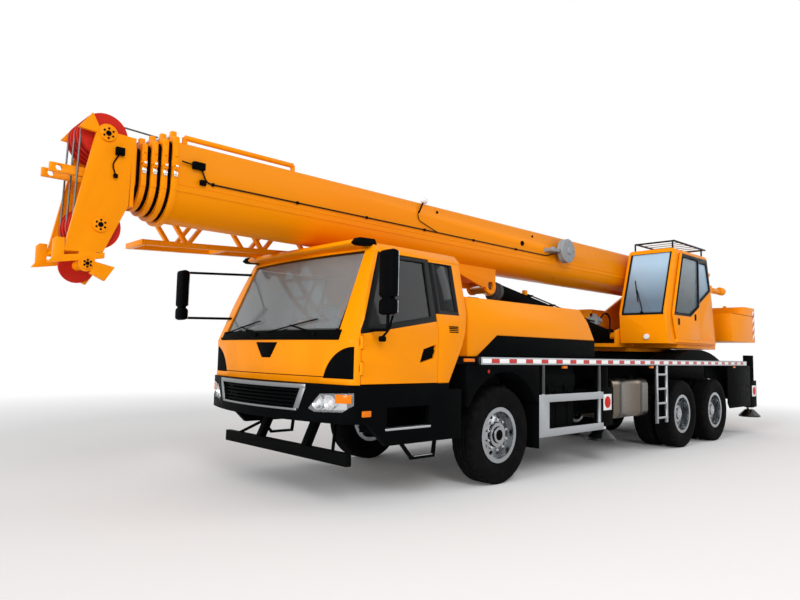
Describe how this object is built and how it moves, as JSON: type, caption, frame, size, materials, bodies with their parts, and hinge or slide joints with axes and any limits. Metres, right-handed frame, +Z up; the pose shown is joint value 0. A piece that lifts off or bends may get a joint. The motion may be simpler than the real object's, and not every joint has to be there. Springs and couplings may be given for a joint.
{
  "type": "mobile crane",
  "caption": "Truck-mounted mobile crane with driver's cab, slewing superstructure, operator's cab, telescopic boom, luffing cylinder, outriggers and a stowed lattice jib.",
  "frame": {"origin": "on the ground, midway along the length and on the centre line", "axes": "+X forwards to the boom head, +Y to the driver's left, +Z up"},
  "size_m": [12.7298, 3.12, 3.34],
  "materials": {
    "crane_yellow": "gloss orange-yellow paint",
    "frame_black": "satin black paint",
    "tyre_rubber": "matt black rubber",
    "rim_silver": "silver paint",
    "glazing": "tinted safety glass",
    "trim_grey": "dark grey cab trim",
    "lamp_lens": "clear lamp lenses",
    "sheave_red": "red paint",
    "extruded_aluminium": "satin extrusion",
    "tank_metal": "brushed sheet",
    "rod_chrome": "hard chrome",
    "engine_iron": "cast block",
    "mirror_plastic": "black moulding"
  },
  "bodies": {
    "carrier": {"chassis_frame": "frame_black", "deck": "frame_black", "axles": "frame_black", "cab_base": "frame_black", "cab_front": "crane_yellow", "cab_back": "crane_yellow", "cab_roof": "crane_yellow", "cab_glass": "glazing", "cab_interior": "trim_grey", "lamps": "lamp_lens", "mirror_right": "mirror_plastic", "engine_hood": "crane_yellow", "engine": "engine_iron", "mudguards": "frame_black", "side_guards": "extruded_aluminium", "side_tanks": "tank_metal"},
    "door_left": {"door_left": "crane_yellow", "door_glass_left": "glazing", "mirror_left": "mirror_plastic"},
    "door_right": {"door_right": "crane_yellow", "door_glass_right": "glazing"},
    "knuckle_left": {"knuckle_left": "frame_black"},
    "knuckle_right": {"knuckle_right": "frame_black"},
    "wheel_front_left": {"tyre_front_left": "tyre_rubber", "rim_front_left": "rim_silver"},
    "wheel_front_right": {"tyre_front_right": "tyre_rubber", "rim_front_right": "rim_silver"},
    "turntable": {"turntable_frame": "crane_yellow", "operator_cab": "crane_yellow", "operator_glass": "glazing", "operator_seat": "trim_grey", "counterweight": "crane_yellow"},
    "operator_door": {"operator_door": "crane_yellow", "operator_door_glass": "glazing"},
    "boom_base": {"boom_base": "crane_yellow", "lattice_jib": "crane_yellow"},
    "boom_2": {"boom_section_2": "crane_yellow"},
    "boom_3": {"boom_section_3": "crane_yellow"},
    "boom_4": {"boom_section_4": "crane_yellow"},
    "boom_head": {"boom_head": "crane_yellow", "head_sheaves": "sheave_red"},
    "luff_barrel": {"luff_barrel": "frame_black"},
    "luff_rod": {"luff_rod": "rod_chrome"},
    "wheel_mid_left": {"tyres_mid_left": "tyre_rubber", "rims_mid_left": "rim_silver"},
    "wheel_mid_right": {"tyres_mid_right": "tyre_rubber", "rims_mid_right": "rim_silver"},
    "wheel_rear_left": {"tyres_rear_left": "tyre_rubber", "rims_rear_left": "rim_silver"},
    "wheel_rear_right": {"tyres_rear_right": "tyre_rubber", "rims_rear_right": "rim_silver"},
    "beam_front_left": {"beam_front_left": "frame_black"},
    "jack_front_left": {"jack_front_left": "rod_chrome"},
    "beam_front_right": {"beam_front_right": "frame_black"},
    "jack_front_right": {"jack_front_right": "rod_chrome"},
    "beam_rear_left": {"beam_rear_left": "frame_black"},
    "jack_rear_left": {"jack_rear_left": "rod_chrome"},
    "beam_rear_right": {"beam_rear_right": "frame_black"},
    "jack_rear_right": {"jack_rear_right": "rod_chrome"}
  },
  "joints": [
    {"name": "steer_left", "type": "hinge", "parent": "carrier", "child": "knuckle_left", "pos_m": [2.065, 0.84, 0.525], "axis": [0, 0, 1], "range_deg": [-35, 35]},
    {"name": "steer_right", "type": "hinge", "parent": "carrier", "child": "knuckle_right", "pos_m": [2.065, -0.84, 0.525], "axis": [0, 0, 1], "range_deg": [-35, 35]},
    {"name": "roll_front_left", "type": "hinge", "parent": "knuckle_left", "child": "wheel_front_left", "pos_m": [2.065, 1.06, 0.525], "axis": [0, 1, 0], "continuous": true},
    {"name": "roll_mid_left", "type": "hinge", "parent": "carrier", "child": "wheel_mid_left", "pos_m": [-2.585, 1.105, 0.525], "axis": [0, 1, 0], "continuous": true},
    {"name": "roll_rear_left", "type": "hinge", "parent": "carrier", "child": "wheel_rear_left", "pos_m": [-3.935, 1.105, 0.525], "axis": [0, 1, 0], "continuous": true},
    {"name": "door_left_swing", "type": "hinge", "parent": "carrier", "child": "door_left", "pos_m": [4.115, 1.25, 1.7], "axis": [0, 0, -1], "range_deg": [0, 70]},
    {"name": "roll_front_right", "type": "hinge", "parent": "knuckle_right", "child": "wheel_front_right", "pos_m": [2.065, -1.06, 0.525], "axis": [0, 1, 0], "continuous": true},
    {"name": "roll_mid_right", "type": "hinge", "parent": "carrier", "child": "wheel_mid_right", "pos_m": [-2.585, -1.105, 0.525], "axis": [0, 1, 0], "continuous": true},
    {"name": "roll_rear_right", "type": "hinge", "parent": "carrier", "child": "wheel_rear_right", "pos_m": [-3.935, -1.105, 0.525], "axis": [0, 1, 0], "continuous": true},
    {"name": "door_right_swing", "type": "hinge", "parent": "carrier", "child": "door_right", "pos_m": [4.115, -1.25, 1.7], "axis": [0, 0, 1], "range_deg": [0, 70]},
    {"name": "slew", "type": "hinge", "parent": "carrier", "child": "turntable", "pos_m": [-3.135, 0, 1.5], "axis": [0, 0, 1], "continuous": true},
    {"name": "operator_door_slide", "type": "slide", "parent": "turntable", "child": "operator_door", "axis": [-1, 0, 0], "range_m": [0, 0.6]},
    {"name": "luff", "type": "hinge", "parent": "turntable", "child": "boom_base", "pos_m": [-4.435, 0, 2.7], "axis": [0, -1, 0], "range_deg": [0, 80]},
    {"name": "telescope_2", "type": "slide", "parent": "boom_base", "child": "boom_2", "axis": [1, 0, 0], "range_m": [0, 7.35]},
    {"name": "telescope_3", "type": "slide", "parent": "boom_2", "child": "boom_3", "axis": [1, 0, 0], "range_m": [0, 7.35]},
    {"name": "telescope_4", "type": "slide", "parent": "boom_3", "child": "boom_4", "axis": [1, 0, 0], "range_m": [0, 7.35]},
    {"name": "telescope_5", "type": "slide", "parent": "boom_4", "child": "boom_head", "axis": [1, 0, 0], "range_m": [0, 7.35]},
    {"name": "luff_barrel_swing", "type": "hinge", "parent": "turntable", "child": "luff_barrel", "pos_m": [-2.385, 0, 1.76], "axis": [0, -1, 0], "range_deg": [0, 88]},
    {"name": "luff_rod_stroke", "type": "slide", "parent": "luff_barrel", "child": "luff_rod", "axis": [0.9863, 0, 0.1649], "range_m": [0, 2.85]},
    {"name": "outrigger_front_left", "type": "slide", "parent": "carrier", "child": "beam_front_left", "axis": [0, 1, 0], "range_m": [0, 1.8]},
    {"name": "jack_front_left_down", "type": "slide", "parent": "beam_front_left", "child": "jack_front_left", "axis": [0, 0, -1], "range_m": [0, 0.5]},
    {"name": "outrigger_front_right", "type": "slide", "parent": "carrier", "child": "beam_front_right", "axis": [0, -1, 0], "range_m": [0, 1.8]},
    {"name": "jack_front_right_down", "type": "slide", "parent": "beam_front_right", "child": "jack_front_right", "axis": [0, 0, -1], "range_m": [0, 0.5]},
    {"name": "outrigger_rear_left", "type": "slide", "parent": "carrier", "child": "beam_rear_left", "axis": [0, 1, 0], "range_m": [0, 1.8]},
    {"name": "jack_rear_left_down", "type": "slide", "parent": "beam_rear_left", "child": "jack_rear_left", "axis": [0, 0, -1], "range_m": [0, 0.5]},
    {"name": "outrigger_rear_right", "type": "slide", "parent": "carrier", "child": "beam_rear_right", "axis": [0, -1, 0], "range_m": [0, 1.8]},
    {"name": "jack_rear_right_down", "type": "slide", "parent": "beam_rear_right", "child": "jack_rear_right", "axis": [0, 0, -1], "range_m": [0, 0.5]}
  ],
  "couplings": [
    {"joint": "steer_right", "follows": "steer_left", "ratio": 1},
    {"joint": "telescope_4", "follows": "telescope_3", "ratio": 1},
    {"joint": "telescope_5", "follows": "telescope_3", "ratio": 1},
    {"joint": "luff_barrel_swing", "follows": "luff", "ratio": 1.0913},
    {"joint": "luff_rod_stroke", "follows": "luff", "m_per_rad": 2.0335}
  ]
}
